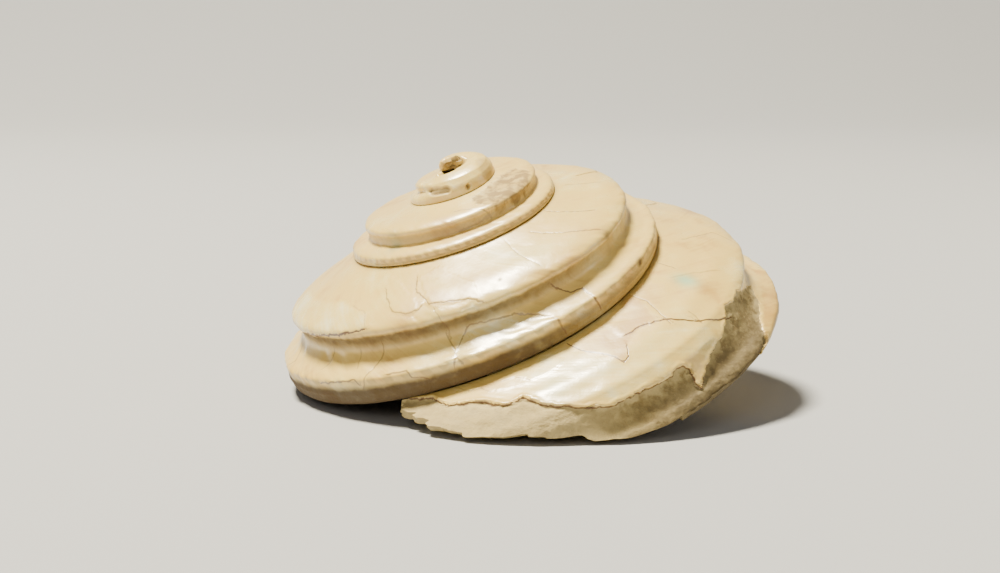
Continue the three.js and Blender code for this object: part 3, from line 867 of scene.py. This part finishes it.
# the hollow behind the lip: outer wall, glaze over the whorl before, and its closed inner end
HOLLOW_FROM = -0.30                    # half turns
WALL_COLUMNS, GLAZE_COLUMNS, GLAZE_ROWS, END_ROWS = 110, 90, 28, 8
inner_from = HOLLOW_FROM * PI
run = np.linspace(0, 1, WALL_COLUMNS)[:, None]
inner_rows = np.concatenate([np.linspace(0, UNDER_SHARE, 40), BASE_ROWS])
inner_p = inner_from + run * (lip_angle(inner_rows)[None, :] - inner_from)
inner_s = np.repeat(inner_rows[None, :], len(run), 0)
inner_v = lining_at(inner_p, inner_s)
hollow = Sheets()
hollow.grid(inner_v, flip=True, turn=inner_p / PI, share=inner_s)
glaze_p = np.linspace(inner_from - TURN, (BASE_FROM + 0.02) * PI, GLAZE_COLUMNS)
glaze_p = np.repeat(glaze_p[:, None], GLAZE_ROWS, 1)
glaze_s = np.repeat(np.linspace(UNDER_SHARE, 2, GLAZE_ROWS)[None, :], GLAZE_COLUMNS, 0)
glaze_v = around(glaze_p, section_at(glaze_p, glaze_s))
glaze_v = glaze_v + normals_of(glaze_v) * GLAZE
hollow.grid(glaze_v, turn=glaze_p / PI, share=glaze_s)
evenly, glaze_evenly = np.linspace(0, 1, len(inner_rows)), np.linspace(0, 1, GLAZE_ROWS)
far_wall = np.stack([np.interp(evenly, glaze_evenly, glaze_v[0, :, k]) for k in range(3)], -1)
end_wall = inner_v[0] + (far_wall - inner_v[0]) * np.linspace(0, 1, END_ROWS)[:, None, None]
hollow.grid(end_wall, turn=HOLLOW_FROM, share=1.0)

# the broken edge, in thin torn layers
LAYERS, TEAR = 7, 0.30                 # how many, and how far they stand out in mm
lip_p = np.repeat(lip_angle(lip_share)[None, :], 2, 0) - np.array([[0.01], [0.0]])
lip_inside = lining_at(lip_p, np.repeat(lip_share[None, :], 2, 0))[-1]
across = np.linspace(0, 1, LAYERS)[:, None, None]
rim = lip + (lip_inside - lip) * across
growing = np.stack([np.sin(lip_p[-1]), np.cos(lip_p[-1]), np.zeros(len(lip_share))], -1)
torn = TEAR * np.stack([noise(lip_share * 60, k * 1.7, 0.3, 95) for k in range(LAYERS)])
rim = rim + growing * (torn * np.sin(np.linspace(0, PI, LAYERS))[:, None])[..., None]
last_whorl.grid(rim, chalk=2.5, turn=lip_p[-1] / PI, share=lip_share)
last_whorl.build("last_whorl", pearl)
hollow.build("hollow", lining_pearl)

middle_whorls = Sheets()
p, s, v, m = outside(MIDDLE_FROM * PI, LAST_FROM * PI, NEAR_STEP, FAR_STEP, WITH_BASE)
middle_whorls.grid(v, keep=(s <= UNDER_SHARE + 1e-6) | (p > BASE_FROM * PI), **m)
middle_whorls.build("middle_whorls", pearl)

spire = Sheets()
p, s, v, m = outside(FIRST * PI, MIDDLE_FROM * PI, 0.92 * NEAR_STEP, 0.9 * FAR_STEP, rows_across(0.0165))
spire.grid(v, **m)
# the closed top of the first whorl: a cap over it, and a face where it begins
top = np.array([0, 0, float(keel(np.array(FIRST * PI - PI))[1]) + 0.3])
ring = p[:, 0] < FIRST * PI + TURN + 0.02
outwards = np.linspace(0.02, 1, 8)[None, :, None]
cap = top + (v[ring][:, :1] - top) * outwards
depth, dark = pits(cap)
cap[..., 2] -= depth
spire.grid(cap, pit=dark, turn=FIRST, share=0.1)
front = top + (v[0][:, None] - top) * outwards
spire.grid(front, flip=True, pit=pits(front)[1], turn=FIRST, share=0.1)
spire.build("spire", pearl)

# ------------------------------------------------------------------ floor, light and camera

SWEEP_FROM, SWEEP_RADIUS, SWEEP_TOP, FLOOR_SIDE, FLOOR_FRONT = 0.7, 0.9, 3.0, 4.0, -3.0
bend = [(SWEEP_FROM + SWEEP_RADIUS * math.sin(a), SWEEP_RADIUS * (1 - math.cos(a)))
        for a in np.linspace(0, PI / 2, 24)]
profile = [(FLOOR_FRONT, 0), *bend, (SWEEP_FROM + SWEEP_RADIUS, SWEEP_TOP)]
floor_mesh = bpy.data.meshes.new("floor")
floor_mesh.from_pydata([(x, y, z) for y, z in profile for x in (-FLOOR_SIDE, FLOOR_SIDE)], [],
                       [(2 * i, 2 * i + 1, 2 * i + 3, 2 * i + 2) for i in range(len(profile) - 1)])
floor_mesh.shade_smooth()
floor = bpy.data.objects.new("floor", floor_mesh)
bpy.context.collection.objects.link(floor)
paper = bpy.data.materials.new("paper floor")
paper.use_nodes = True
matte = paper.node_tree.nodes["Principled BSDF"].inputs
matte["Base Color"].default_value = (0.42, 0.425, 0.44, 1)
matte["Roughness"].default_value = 0.9
floor_mesh.materials.append(paper)

world = bpy.data.worlds.new("studio")
world.use_nodes = True
air = world.node_tree.nodes["Background"].inputs
air["Color"].default_value = (1.0, 0.97, 0.92, 1)
air["Strength"].default_value = 0.13
bpy.context.scene.world = world


def area_light(name, direction, distance, size, power, colour):
    """A round lamp that shines on the shell from a direction, in metres and watts."""
    data = bpy.data.lights.new(name, 'AREA')
    data.shape = 'DISK'
    data.size, data.energy, data.color = size, power, colour
    lamp = bpy.data.objects.new(name, data)
    aim = Vector(direction).normalized()
    lamp.location = aim * distance + Vector((0, 0, 0.02))
    lamp.rotation_euler = aim.to_track_quat('Z', 'Y').to_euler()
    bpy.context.collection.objects.link(lamp)


area_light("key", (-0.30, 0.10, 0.95), 1.5, 0.36, 92, (1.0, 0.92, 0.72))
area_light("front fill", (-0.25, -0.85, 0.45), 1.6, 0.8, 4.5, (1.0, 0.95, 0.86))
area_light("side fill", (0.9, -0.3, 0.4), 1.6, 0.7, 2.5, (1.0, 0.97, 0.92))

VIEW_HEIGHT = math.radians(4.5)
VIEW_DISTANCE = 8.905 * KEEL_RADIUS
FOCAL = 2.00718                        # focal length over the width of the sensor
AIM_RIGHT, AIM_DOWN = 0.04335, 0.1269  # how far the aim lies from SET_DOWN, as shares of that width
SENSOR = 36
away = np.array([0, -math.cos(VIEW_HEIGHT), math.sin(VIEW_HEIGHT)])
camera_data = bpy.data.cameras.new("camera")
camera_data.sensor_width = SENSOR
camera_data.lens = SENSOR * FOCAL
camera_data.clip_start = 0.01
camera = bpy.data.objects.new("camera", camera_data)
camera.location = (np.array(SET_DOWN) + VIEW_DISTANCE * away) * MM
camera.rotation_euler = (PI / 2 - VIEW_HEIGHT - math.atan(AIM_DOWN / FOCAL), 0,
                         -math.atan(AIM_RIGHT / FOCAL))
bpy.context.collection.objects.link(camera)
bpy.context.scene.camera = camera
